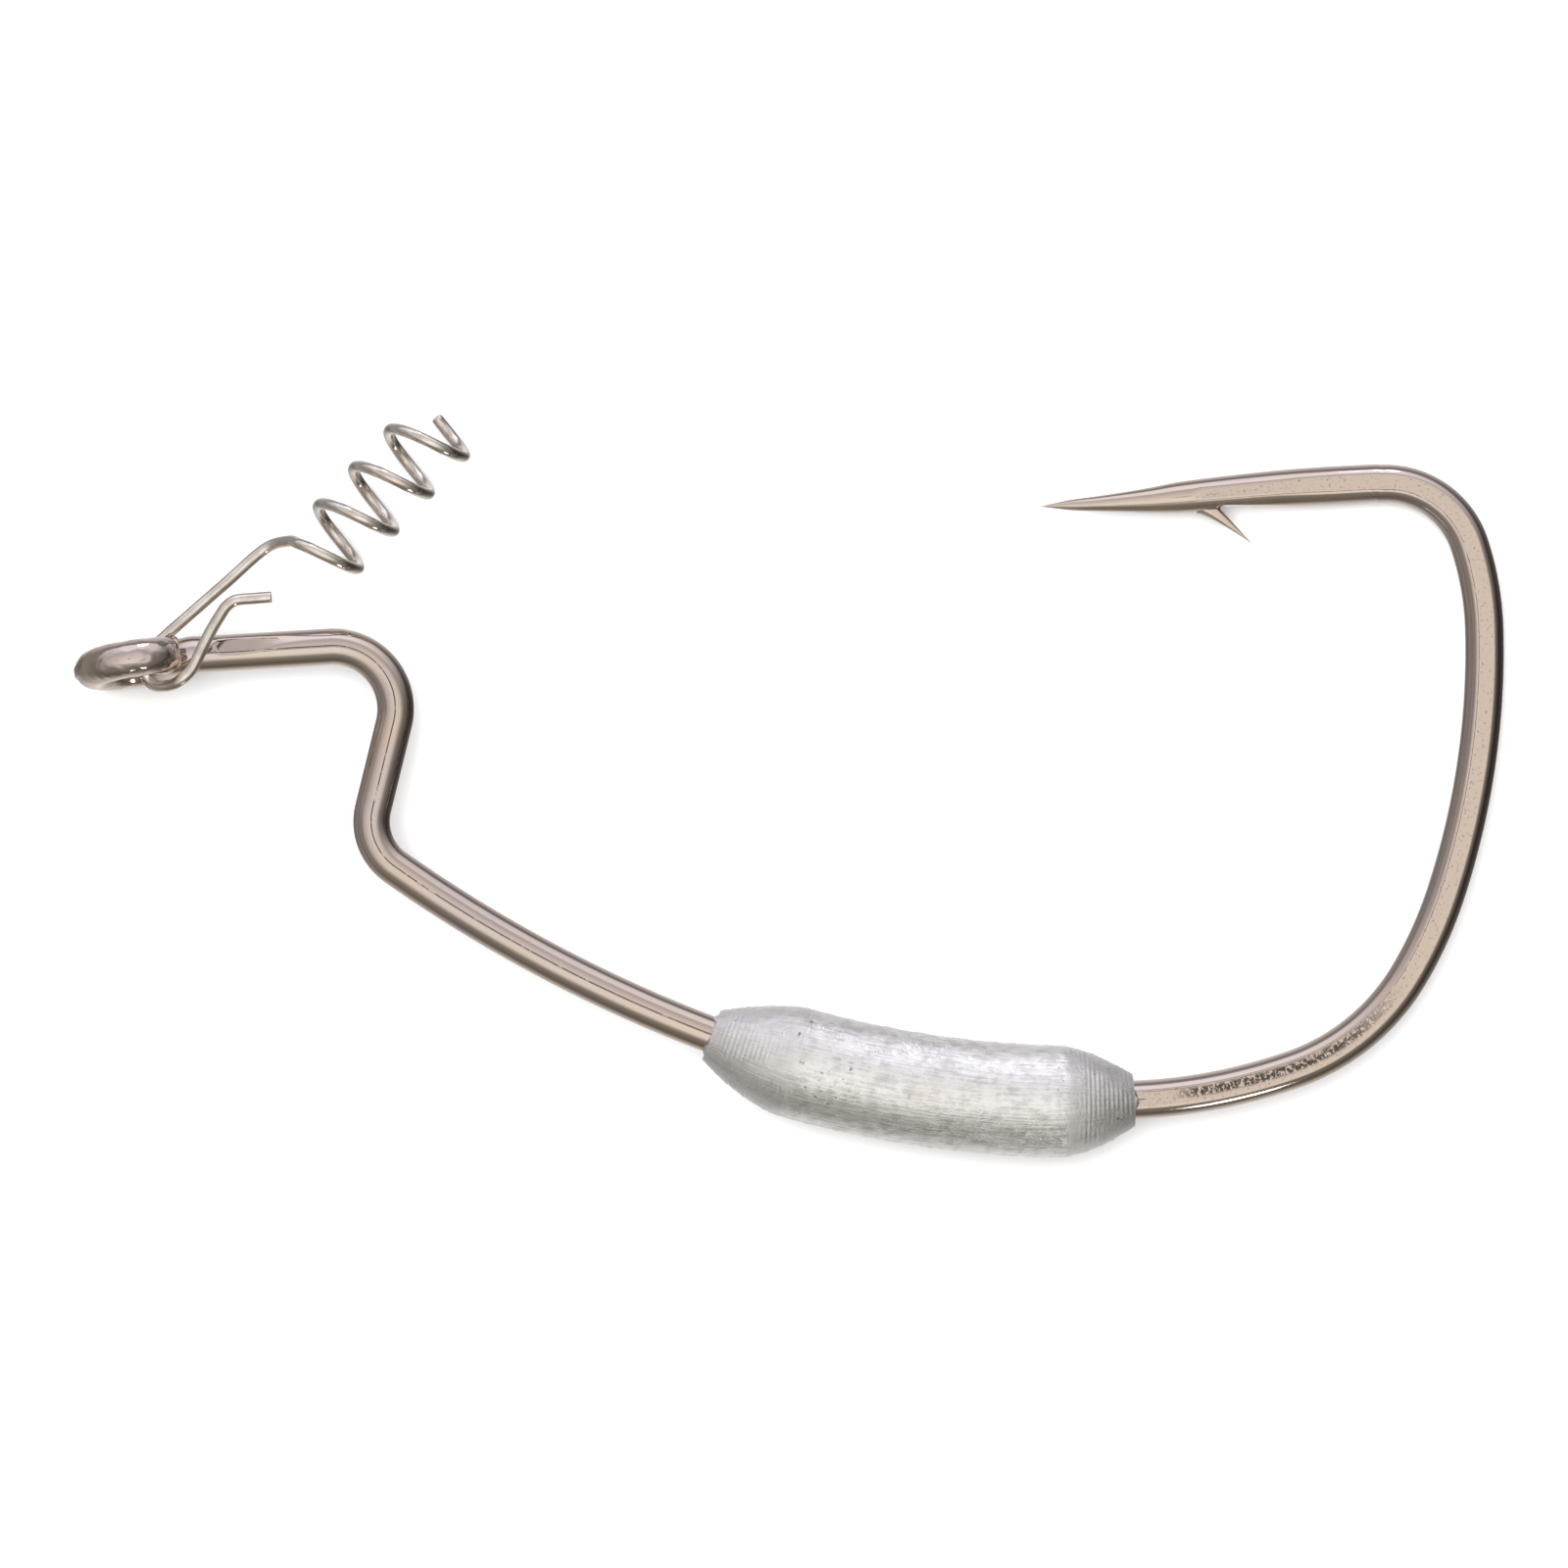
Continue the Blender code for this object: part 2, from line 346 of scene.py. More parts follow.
def black_nickel():
    """Plated wire: mirror-like, drawn along its length, pitted where the press flattened it, with a dark
    line of painted reflection along the round shank.
    """
    material, tree = metal("black_nickel_plate")
    along_wire = tree.node("ShaderNodeUVMap", {"uv_map": "wire"})
    space = tree.node("ShaderNodeTexCoord", output=3)
    pressed, worn, creased = (carried(tree, name) for name in HOOK_MARKS)

    drawn = noise_at(tree, stretched(tree, along_wire, (0.35, 14.0, 1.0)), 1.0, 3.0)
    cloudy = noise_at(tree, space, 260.0, 3.0)
    peel = noise_at(tree, space, 5200.0, 2.0)
    pit_cells = noise_at(tree, stretched(tree, along_wire, (5.2, 4.2, 1.0)), 1.0, 5.0, 0.72)
    pit = tree.smooth(pit_cells, 0.46, 0.53) * worn
    light_pit_cells = noise_at(tree, stretched(tree, along_wire, (5.5, 6.0, 1.0)), 1.0, 4.0, 0.7)
    light_pit = tree.smooth(light_pit_cells, 0.60, 0.66) * pressed
    broken = noise_at(tree, stretched(tree, along_wire, (0.9, 0.2, 1.0)), 1.0, 4.0, 0.7)
    # dark line: on the bend and spear a crease in the flat, on the round shank a painted reflection along
    # the wire's middle
    crease_and_painted_line_mark = tree.smooth(creased, 0.1, 0.5) * tree.smooth(broken, 0.36, 0.46)
    scratch_lines = noise_at(tree, turned(tree, space, 52.0, (12000.0, 500.0, 900.0)), 1.0, 1.0)
    scratch = tree.smooth(scratch_lines, 0.745, 0.765) * tree.smooth(cloudy, 0.5, 0.6)
    pits = (pit + light_pit * 0.45 + crease_and_painted_line_mark * 0.95).at_most(1.0)

    bronze = (0.74, 0.62, 0.53, 1.0)
    violet = (0.72, 0.61, 0.57, 1.0)
    plate = tree.mix(tree.smooth(cloudy, 0.38, 0.62), bronze, violet)
    flat = tree.mix(peel * 0.35 + drawn * 0.3, (0.80, 0.67, 0.56, 1.0), (0.66, 0.54, 0.45, 1.0))
    plate = tree.mix(pressed * 0.85, plate, flat)
    colour = tree.mix(pits * 0.88, plate, (0.05, 0.04, 0.035, 1.0))
    colour = tree.mix(scratch * 0.6, colour, (0.90, 0.84, 0.80, 1.0))
    roughness = 0.06 + drawn * 0.06 + pressed * 0.09 + pits * 0.3
    height = drawn * 0.22 + peel * (0.08 + pressed * 0.26) - pits * 1.6
    bump = tree.node("ShaderNodeBump", None, {"Strength": 0.55, "Distance": 0.00002, "Height": height})
    finish_metal(tree, colour, roughness, bump)
    return material


def cast_lead():
    """Bright lead straight from the mould: a grainy skin with long flow streaks and a few specks."""
    material, tree = metal("bright_cast_lead")
    along = tree.node("ShaderNodeUVMap", {"uv_map": "wire"})
    space = tree.node("ShaderNodeTexCoord", output=3)
    cone = carried(tree, "cone")

    grain = noise_at(tree, space, 7000.0, 3.0, 0.6)
    coarse = noise_at(tree, space, 1500.0, 4.0, 0.62)
    streaks = noise_at(tree, stretched(tree, along, (0.35, 6.5, 1.0)), 1.0, 6.0, 0.72)
    specks = tree.smooth(noise_at(tree, space, 3300.0, 2.0, 0.5), 0.70, 0.76)
    cloudy = noise_at(tree, space, 240.0, 3.0)

    bright = (1.0, 0.99, 0.98, 1.0)
    dull = (0.74, 0.72, 0.71, 1.0)
    skin = tree.mix(tree.smooth(coarse * 0.5 + streaks * 0.5, 0.44, 0.62), bright, dull)
    skin = tree.mix(tree.smooth(cloudy, 0.52, 0.72) * 0.3, skin, (0.82, 0.76, 0.72, 1.0))
    skin = tree.mix(cone * 0.5, skin, (0.78, 0.76, 0.75, 1.0))
    colour = tree.mix(specks * 0.75, skin, (0.22, 0.18, 0.16, 1.0))
    roughness = 0.13 + coarse * 0.12 + cone * 0.14 + specks * 0.2
    height = grain * 0.75 + coarse * 0.7 + streaks * 1.5 - specks * 0.8
    bump = tree.node("ShaderNodeBump", None, {"Strength": 0.65, "Distance": 0.00004, "Height": height})
    finish_metal(tree, colour, roughness, bump, metallic=0.94)
    return material


def stainless_wire():
    """Bright spring wire with faint die lines along it."""
    material, tree = metal("bright_stainless_wire")
    along = tree.node("ShaderNodeUVMap", {"uv_map": "wire"})
    space = tree.node("ShaderNodeTexCoord", output=3)
    die_lines = noise_at(tree, stretched(tree, along, (0.5, 26.0, 1.0)), 1.0, 3.0)
    smears = noise_at(tree, space, 900.0, 3.0)
    colour = tree.mix(
        tree.smooth(smears, 0.40, 0.75), (0.97, 0.90, 0.83, 1.0), (0.76, 0.68, 0.60, 1.0)
    )
    roughness = 0.05 + die_lines * 0.06 + smears * 0.05
    height = die_lines * 0.6 + smears * 0.2
    bump = tree.node("ShaderNodeBump", None, {"Strength": 0.4, "Distance": 0.00002, "Height": height})
    finish_metal(tree, colour, roughness, bump)
    return material


# ---------------------------------------------------------------- routes


def bend_wire(start, heading, programme, step=2.0, spacing=0.4):
    """Points along straight lengths and (radius, degrees) bends, then the heading at the end."""
    position = Vector((start[0], start[1], 0.0))
    angle = radians(heading)
    points = [position.copy()]
    for part in programme:
        if not isinstance(part, tuple):
            ahead = Vector((cos(angle), sin(angle), 0.0)) * part
            count = max(1, round(part / spacing))
            points += [position + ahead * index / count for index in range(1, count + 1)]
            position = position + ahead
            continue
        radius, turn = part
        side = 1.0 if turn > 0 else -1.0
        to_centre = Vector((-sin(angle), cos(angle), 0.0)) * radius * side
        centre = position + to_centre
        count = max(4, round(abs(turn) / step), round(radius * radians(abs(turn)) / spacing))
        for index in range(1, count + 1):
            so_far = Matrix.Rotation(radians(turn) * index / count, 3, "Z")
            points.append(centre - so_far @ to_centre)
        position = points[-1].copy()
        angle += radians(turn)
    return points, degrees(angle)


def smooth_line(points, steps):
    """A Catmull-Rom line through the points."""
    points = [Vector(point) for point in points]
    ends = [points[0] * 2 - points[1]] + points + [points[-1] * 2 - points[-2]]
    line = [points[0]]
    for before, first, second, after in zip(ends, ends[1:], ends[2:], ends[3:]):
        for index in range(1, steps + 1):
            t = index / steps
            line.append(
                0.5
                * (
                    2 * first
                    + (second - before) * t
                    + (2 * before - 5 * first + 4 * second - after) * t**2
                    + (3 * first - before - 3 * second + after) * t**3
                )
            )
    return line


def eye_axes():
    slope, tilt = radians(EYE_SLOPE), radians(EYE_TILT)
    along = Vector((cos(slope), sin(slope), 0.0))
    near = Vector((0.0, sin(tilt), cos(tilt)))
    near = (near - along * near.dot(along)).normalized()
    return along, near


def eye_route():
    """From the neck's end to the far side, round the ring and on straight to the cut end."""
    along, near = eye_axes()
    neck_x = sqrt(EYE_RADIUS**2 + 2 * EYE_RADIUS * EYE_NECK_RADIUS)
    meets = degrees(atan2(EYE_NECK_RADIUS, neck_x))
    points = []
    for index in range(1, 18):
        turn = radians((90.0 - meets) * index / 18)
        x = neck_x - EYE_NECK_RADIUS * sin(turn)
        z = EYE_NECK_RADIUS * (cos(turn) - 1.0)
        points.append(along * x + near * z)
    last = EYE_STRAIGHT_FROM - 360.0
    for index in range(EYE_STEPS + 1):
        turn = radians(-meets + (last + meets) * index / EYE_STEPS)
        points.append((along * cos(turn) + near * sin(turn)) * EYE_RADIUS)
    turn = radians(EYE_STRAIGHT_FROM)
    ahead = along * sin(turn) - near * cos(turn)
    start = points[-1]
    for index in range(1, EYE_STRAIGHT_STEPS + 1):
        points.append(start + ahead * (EYE_STRAIGHT * index / EYE_STRAIGHT_STEPS))
    return points


def shank_routes():
    shoulder, heading = bend_wire(NECK_START, NECK_HEADING, SHOULDER_PROGRAMME)
    covered, heading_after = bend_wire(shoulder[-1], heading, (WEIGHT_ARC,))
    bend, _ = bend_wire(covered[-1], heading_after, BEND_PROGRAMME, spacing=0.3)
    return shoulder, covered, bend, heading


def coil_points():
    heading = radians(COIL_HEADING)
    along = Vector((cos(heading), sin(heading), 0.0))
    across = Vector((sin(heading), -cos(heading), 0.0))
    first, last = COIL_TURNS
    count = 220
    points = []
    for index in range(count + 1):
        turns = first + (last - first) * index / count
        angle = 2 * pi * turns
        advance = COIL_PITCH * turns + COIL_LEAN * cos(angle)
        point = Vector(COIL_AXIS_START) + along * advance
        point += across * COIL_RADIUS * cos(angle)
        point.z -= COIL_RADIUS * sin(angle)
        points.append(point)
    return points


# ---------------------------------------------------------------- the forged hook


def section_angles():
    """Degrees round the wire, closer together where the pressed flats have their edges."""
    edge = degrees(acos(sqrt(1.0 - (FORGED_HALF_THICKNESS / FORGED_RADIUS) ** 2)))
    angles = {float(turn) for turn in range(0, 360, 5)}
    for corner in (edge, 180.0 - edge, 180.0 + edge, 360.0 - edge):
        angles |= {corner + offset for offset in (-5.0, -3.4, -2.0, -1.0, 0.0, 1.0, 2.0, 3.4)}
    for crease_and_painted_line_mark in (CREASE_TURN, SHANK_PAINTED_LINE_TURN):
        angles |= {crease_and_painted_line_mark - CREASE_HALF_WIDTH, crease_and_painted_line_mark, crease_and_painted_line_mark + CREASE_HALF_WIDTH}
    return sorted(angles)


def soft_limit(value, limit, softness):
    """The smaller of the two, rounded where they cross."""
    gap = max(softness - abs(value - limit), 0.0) / softness
    return min(value, limit) - gap * gap * softness / 4


def ease(value, low, high):
    t = min(max((value - low) / (high - low), 0.0), 1.0)
    return t * t * (3 - 2 * t)


def hook_stations():
    """The wire from its point to the cut end at the eye: centre, radius, and how far it is pressed flat."""
    shoulder, covered, bend, _ = shank_routes()
    stations = []

    def add(centre, radius, press, part):
        stations.append({"at": centre, "radius": radius, "press": press, "part": part})

    for x, y, radius in reversed(smooth_line(POINT_TAPER, 14)):
        add(Vector((x, y, 0.0)), radius, ease(x, *FLAT_ENDS_X), "spear")
    for point in reversed(bend):
        add(point, FORGED_RADIUS, 1.0, "bend")
    for index, point in enumerate(reversed(covered[:-1])):
        share = ease(index / len(covered), 0.0, 0.25)
        add(point, FORGED_RADIUS + (WIRE_RADIUS - FORGED_RADIUS) * share, 1.0 - share, "shank")
    neck_end = NECK_LAND[0] + 2.5
    neck = [point for point in shoulder if point.x < neck_end and point.y < NECK_LAND_BELOW_Y]
    beyond = shoulder[len(neck) : -1]
    fine = [a.lerp(b, quarter / 4) for a, b in zip(neck, shoulder[1:]) for quarter in range(4)]
    for point in reversed(fine + beyond):
        add(point, WIRE_RADIUS, 0.0, "shank")
    for point in eye_route():
        add(point, WIRE_RADIUS, 0.0, "eye")
    return stations


def frame_along(points):
    """At each point the tangent and the directions across and out of the plane, without twist."""
    out = Vector((0.0, 0.0, 1.0))
    frames = []
    for index, point in enumerate(points):
        before = points[max(index - 1, 0)]
        after = points[min(index + 1, len(points) - 1)]
        tangent = (after - before).normalized()
        out = (out - tangent * out.dot(tangent)).normalized()
        frames.append((tangent, out.cross(tangent), out))
    return frames


def neck_land(x, across, out):
    """The round-ended land that the eye-forming die leaves on the neck, fading towards the shoulder."""
    start, end = NECK_LAND
    if not start - 0.3 < x < end:
        return across, out
    share = ease(x, start + 1.0, end)
    first_turn, last_turn = NECK_LAND_TURN
    turn = radians(first_turn + (last_turn - first_turn) * share)
    facing = (-cos(turn), sin(turn))
    depth = across * facing[0] + out * facing[1]
    beside = abs(across * facing[1] - out * facing[0])
    along = min(max((x - start) / NECK_LAND_ROUNDING, 0.0), 1.0)
    half_width = NECK_LAND_HALF_WIDTH * sqrt(1.0 - (1.0 - along) ** 2)
    inside = 1.0 - ease(beside, half_width - 0.10, half_width + 0.04)
    inside = inside if along > 0.0 else 0.0
    pressed_to = NECK_LAND_DEPTH[0] + (NECK_LAND_DEPTH[1] - NECK_LAND_DEPTH[0]) * share
    clear = WIRE_RADIUS + NECK_LAND_CLEAR
    limit = clear + (pressed_to - clear) * inside
    excess = max(depth - soft_limit(depth, limit, NECK_LAND_CLEAR), 0.0)
    return across - facing[0] * excess, out - facing[1] * excess


def eye_marks(centre, corner):
    """The dents that closing the eye leaves on its skin, and the nub at its far end."""
    along, near = eye_axes()
    beside = near.cross(along)
    out_of_ring = (corner - centre).normalized()
    dents = noise.fractal(corner * 1.5, 0.7, 2.1, 4) * EYE_DENTS
    reach = -corner.dot(along)
    nub = ease(reach, EYE_RADIUS + NUB_REACH[0], EYE_RADIUS + NUB_REACH[1])
    nub *= 1.0 - ease(abs(corner.dot(beside) + 0.05), *NUB_HALF_WIDTH)
    return corner + out_of_ring * dents - along * nub * NUB_HEIGHT


def sheared_end(corner, past_step):
    """The cut end: sheared to one slanting face, and thinned on the side beside the keeper."""
    along, near = eye_axes()
    (first_x, first_z), (last_x, last_z) = CUT_FACE
    facing = Vector((first_z - last_z, last_x - first_x)).normalized()
    out_of_face = along * facing.x + near * facing.y

    def past_face(point):
        place = Vector((point.dot(along), point.dot(near)))
        return facing.dot(place) - facing.dot(Vector((first_x, first_z)))

    spare = past_face(corner)
    if spare > 0.0:
        corner = corner - out_of_face * spare
        roughness = CUT_ROUGHNESS * noise.fractal(corner * 5.0, 0.7, 2.0, 3)
        corner = corner - out_of_face * (CUT_STEP_DEPTH * past_step - roughness)
    rest = CUT_REST * corner.dot(along) - corner.dot(near)
    if rest > 0.0:
        corner = corner + near * rest
        slide = max(past_face(corner), 0.0) / (facing.x + facing.y * CUT_REST)
        corner = corner - (along + near * CUT_REST) * slide
    return corner


def barb_notch(centre, corner):
    """Under the barb the wire was cut away to raise it."""
    depth = ease(centre.x, *BARB_NOTCH_X)
    lowest = BARB_NOTCH_Y - (1.0 - depth) * 0.5
    return max(corner.y, lowest) if depth > 0.0 else corner.y


def hook_mesh():
    stations = hook_stations()
    frames = frame_along([station["at"] for station in stations])
    angles = section_angles()
    corners, pressed, worn, creased, lengths = [], [], [], [], []
    run, previous = 0.0, stations[0]["at"]
    closing = len(stations) - CUT_STATIONS
    for index, (station, (_, across_axis, out_axis)) in enumerate(zip(stations, frames)):
        centre, radius, press, part = (station[key] for key in ("at", "radius", "press", "part"))
        run += (centre - previous).length
        previous = centre
        lengths.append(run)
        wear = ease(centre.x, *PITTED_X[:2]) * (1.0 - ease(centre.x, *PITTED_X[2:]))
        wear = wear if part == "bend" and centre.y < 0.0 else 0.0
        thickness = min(FORGED_HALF_THICKNESS, radius * FLAT_SHARE)
        limit = thickness + (radius + EDGE_SOFTNESS - thickness) * (1.0 - press)
        crease_and_painted_line_turn = SHANK_PAINTED_LINE_TURN if part == "shank" else CREASE_TURN
        for turn in angles:
            across, out = cos(radians(turn)) * radius, sin(radians(turn)) * radius
            height = soft_limit(abs(out), limit, EDGE_SOFTNESS)
            pressed.append(press if abs(out) > limit + 0.004 else 0.0)
            band = 1.0 - ease(abs(turn - PITTED_TURN), *PITTED_FADE)
            worn.append(wear * band)
            # on the shank this marks a thin dark line of painted reflection down the middle of the round
            # wire, elsewhere the crease in the flat
            creased.append(1.0 if turn == crease_and_painted_line_turn and part != "eye" else 0.0)
            out = height if out >= 0 else -height
            if part == "shank" and centre.y < NECK_LAND_BELOW_Y:
                across, out = neck_land(centre.x, across, out)
            corner = centre + across_axis * across + out_axis * out
            if part == "spear":
                corner.y = barb_notch(centre, corner)
            if part == "eye" and centre.dot(eye_axes()[0]) < EYE_RADIUS + 0.1:
                corner = eye_marks(centre, corner)
            if part == "eye" and index >= closing:
                past_step = ease(index, closing + CUT_STEP[0], closing + CUT_STEP[1])
                corner = sheared_end(corner, past_step)
            corners.append(corner)
    girth = [radians(turn) * WIRE_RADIUS for turn in angles]
    mesh = swept_mesh("forged_hook", corners, len(angles), lengths, girth)
    for name, values in zip(HOOK_MARKS, (pressed, worn, creased)):
        add_points(mesh, name, values)
    return mesh


def swept_mesh(name, corners, around, lengths, girth):
    """Closed rings of corners joined into one skin, capped at both ends, with a map along the wire."""
    rings = len(corners) // around
    faces = []
    for ring in range(rings - 1):
        for side in range(around):
            after = (side + 1) % around
            low, high = ring * around, (ring + 1) * around
            faces.append((low + side, low + after, high + after, high + side))
    faces.append(tuple(reversed(range(around))))
    faces.append(tuple(range((rings - 1) * around, rings * around)))
    mesh = bpy.data.meshes.new(name)
    mesh.from_pydata([tuple(corner) for corner in corners], [], faces)
    layer = mesh.uv_layers.new(name="wire")
    full = girth[-1] + (girth[-1] - girth[-2])
    for polygon in mesh.polygons:
        sides = [mesh.loops[loop].vertex_index % around for loop in polygon.loop_indices]
        wraps = polygon.loop_total == 4 and max(sides) - min(sides) > 1
        for loop, side in zip(polygon.loop_indices, sides):
            ring = mesh.loops[loop].vertex_index // around
            turn = full if wraps and side == 0 else girth[side]
            layer.data[loop].uv = (lengths[ring], turn)
    mesh.validate()
    return mesh


def add_points(mesh, name, values):
    attribute = mesh.attributes.new(name, "FLOAT", "POINT")
    attribute.data.foreach_set("value", values)


def barb_mesh():
    """The sliver lifted from the wire: broad and thin at its root, drawn out to a sharp tip."""
    root, tip = Vector((*BARB_ROOT, 0.0)), Vector((*BARB_TIP, 0.0))
    heading = (tip - root).normalized()
    side = Vector((heading.y, -heading.x, 0.0))
    around = 32
    rings = 30
    corners, lengths = [], []
    for ring in range(rings + 1):
        share = ring / rings
        centre = root.lerp(tip, share)
        left = BARB_HALF_WIDTH * (1.0 - share) ** 1.35 + 0.16 * (1.0 - share) ** 7 + BARB_TIP_RADIUS
        right = BARB_HALF_WIDTH * (1.0 - share) + BARB_TIP_RADIUS
        thick = BARB_HALF_THICKNESS * (1.0 - share) ** 0.8 + BARB_TIP_RADIUS
        lengths.append((tip - root).length * share)
        for index in range(around):
            across, out = cos(2 * pi * index / around), sin(2 * pi * index / around)
            reach = left if across > 0 else right
            out = soft_limit(abs(out), 0.86, 0.1) * (1 if out >= 0 else -1)
            corners.append(centre + side * across * reach + Vector((0, 0, 1)) * out * thick)
    girth = [2 * pi * 0.5 * index / around for index in range(around)]
    mesh = swept_mesh("barb", corners, around, lengths, girth)
    for name in HOOK_MARKS:
        add_points(mesh, name, [0.0] * len(corners))
    return mesh


# ---------------------------------------------------------------- wire and casting trees


def geometry_tree(name, inputs):
    """A node group with the named inputs, and its inputs as values."""
    group = bpy.data.node_groups.new(name, "GeometryNodeTree")
    group.interface.new_socket("Route", in_out="INPUT", socket_type="NodeSocketGeometry")
    for label, kind in inputs:
        group.interface.new_socket(label, in_out="INPUT", socket_type=kind)
    group.interface.new_socket("Piece", in_out="OUTPUT", socket_type="NodeSocketGeometry")
    tree = Tree(group)
    start = tree.node("NodeGroupInput")
    labels = ["Route"] + [label for label, _ in inputs]
    return group, tree, {label: tree.also(start, index) for index, label in enumerate(labels)}


def swept_route(tree, given):
    """A tube along the route, as thick as the route's own thickness, with its length and turn kept."""
    thickness = tree.node(
        "GeometryNodeInputNamedAttribute", {"data_type": "FLOAT"}, {"Name": "thickness"}
    )
    curve = tree.node("GeometryNodeMeshToCurve", None, {"Mesh": given["Route"]})
    run = tree.node("GeometryNodeSplineParameter", output=1)
    curve = tree.node(
        "GeometryNodeCaptureAttribute", {"capture": ("FLOAT", "Run")}, {0: curve, 1: run}
    )
    length = tree.also(curve, 1)
    ring = tree.node(
        "GeometryNodeCurvePrimitiveCircle", None, {"Resolution": given["Sides"], "Radius": 1.0}
    )
    turn = tree.node("GeometryNodeSplineParameter")
    ring = tree.node(
        "GeometryNodeCaptureAttribute", {"capture": ("FLOAT", "Turn")}, {0: ring, 1: turn}
    )
    around = tree.also(ring, 1)
    sweep = {"Curve": curve, "Profile Curve": ring, "Scale": thickness, "Fill Caps": True}
    return tree.node("GeometryNodeCurveToMesh", None, sweep), length, around


def finish_piece(tree, skin, length, around, girth, material):
    """Keeps the map along the wire, then ends the tree."""
    uv = tree.node("ShaderNodeCombineXYZ", None, {"X": length, "Y": around * girth})
    skin = tree.node(
        "GeometryNodeStoreNamedAttribute",
        {"data_type": "FLOAT2", "domain": "CORNER"},
        {"Geometry": skin, "Name": "wire", "Value": uv},
    )
    skin = tree.node("GeometryNodeRealizeInstances", None, {"Geometry": skin})
    skin = tree.node("GeometryNodeSetMaterial", None, {"Geometry": skin, "Material": material})
    tree.node("NodeGroupOutput", None, {"Piece": skin})


def drawn_wire_tree():
    inputs = (("Sides", "NodeSocketInt"), ("Material", "NodeSocketMaterial"))
    group, tree, given = geometry_tree("drawn_wire", inputs)
    skin, length, around = swept_route(tree, given)
    finish_piece(tree, skin, length, around, 2 * pi * KEEPER_RADIUS, given["Material"])
    return group


def casting_tree():
    """A casting round the shank: rings on both noses, a parting ridge and an uneven skin."""
    inputs = (
        ("Sides", "NodeSocketInt"),
        ("Length", "NodeSocketFloat"),
        ("Front nose", "NodeSocketFloat"),
        ("Rear nose", "NodeSocketFloat"),
        ("Ring pitch", "NodeSocketFloat"),
        ("Ring depth", "NodeSocketFloat"),
        ("Ridge height", "NodeSocketFloat"),
        ("Skin height", "NodeSocketFloat"),
        ("Material", "NodeSocketMaterial"),
    )
    group, tree, given = geometry_tree("cast_weight", inputs)
    skin, length, around = swept_route(tree, given)
    place = tree.node("GeometryNodeInputPosition")
    out_of_plane = tree.node("ShaderNodeSeparateXYZ", None, {"Vector": place}, output=2)
    to_end = given["Length"] - length
    front = 1.0 - tree.smooth(length, given["Front nose"] * 0.80, given["Front nose"] * 0.98)
    rear = 1.0 - tree.smooth(to_end, given["Rear nose"] * 0.72, given["Rear nose"] * 0.80)
    nose = front.at_least(rear)
    phase = length * (2 * pi) / given["Ring pitch"]
    wave = tree.node("ShaderNodeMath", {"operation": "SINE"}, {0: phase})
    uneven = noise_at(tree, place, 2.2, 3.0)
    lumps = noise_at(tree, place, 0.8, 2.0)
    patchy = tree.smooth(noise_at(tree, place, 0.55, 2.0), 0.42, 0.60)
    rings = wave * given["Ring depth"] * nose * patchy * 2.0
    off_parting = tree.node("ShaderNodeMath", {"operation": "ABSOLUTE"}, {0: out_of_plane})
    ragged = tree.smooth(noise_at(tree, place, 3.4, 4.0, 0.7), 0.42, 0.72)
    ridge = (1.0 - tree.smooth(off_parting, 0.03, 0.16)) * (0.25 + ragged) * given["Ridge height"]
    body = (lumps - 0.5) * given["Skin height"] * 2.0 + (uneven - 0.5) * given["Skin height"]
    normal = tree.node("GeometryNodeInputNormal")
    offset = tree.node(
        "ShaderNodeVectorMath", {"operation": "SCALE"}, {0: normal, "Scale": rings + ridge + body}
    )
    skin = tree.node("GeometryNodeSetPosition", None, {"Geometry": skin, "Offset": offset})
    skin = tree.node(
        "GeometryNodeStoreNamedAttribute",
        {"data_type": "FLOAT", "domain": "POINT"},
        {"Geometry": skin, "Name": "cone", "Value": nose},
    )
    finish_piece(tree, skin, length, around, 2 * pi * WEIGHT_RADIUS, given["Material"])
    return group


def route_object(name, points, radii):
    """A bare line of points that carries its thickness, for a tree to work on."""
    mesh = bpy.data.meshes.new(name)
    edges = [(index, index + 1) for index in range(len(points) - 1)]
    mesh.from_pydata([tuple(point) for point in points], edges, [])
    add_points(mesh, "thickness", radii)
    thing = bpy.data.objects.new(name, mesh)
    bpy.context.scene.collection.objects.link(thing)
    return thing


def run_tree(thing, group, values):
    """Runs the tree on the object and gives its result as a plain mesh."""
    modifier = thing.modifiers.new(group.name, "NODES")
    modifier.node_group = group
    for item in group.interface.items_tree:
        if item.in_out == "INPUT" and item.name in values:
            modifier[item.identifier] = values[item.name]
    bpy.context.view_layer.update()
    evaluated = thing.evaluated_get(bpy.context.evaluated_depsgraph_get())
    mesh = bpy.data.meshes.new_from_object(evaluated)
    bpy.data.objects.remove(thing, do_unlink=True)
    return mesh


# ---------------------------------------------------------------- the weight and the keeper


def weight_route():
    """Points along the shank's arc, close together on the noses, and the casting's radius there."""
    _, covered, _, heading = shank_routes()
    radius, turn = WEIGHT_ARC
    arc = radius * radians(turn)
    length = arc - 2 * WEIGHT_INSET
    start = covered[0]
    centre = start + Vector((-sin(radians(heading)), cos(radians(heading)), 0.0)) * radius
    runs, run = [], 0.0
    while run < length:
        runs.append(run)
        on_nose = run < WEIGHT_FRONT_TAPER or run > length - WEIGHT_REAR_TAPER
        run += 0.036 if on_nose else 0.12
    runs.append(length)
    points, radii = [], []
    for run in runs:
        so_far = Matrix.Rotation((WEIGHT_INSET + run) / radius, 3, "Z")
        points.append(centre + so_far @ (start - centre))
        from_front = run / WEIGHT_FRONT_TAPER
        from_rear = (length - run) / WEIGHT_REAR_TAPER
        rise = 1.0 - max(0.0, 1.0 - min(from_front, from_rear)) ** TAPER_POWER
        rise = min(rise * NOSE_CREASE, 1.0)
        radii.append(WEIGHT_END_RADIUS + (WEIGHT_RADIUS - WEIGHT_END_RADIUS) * rise)
    return points, radii, length


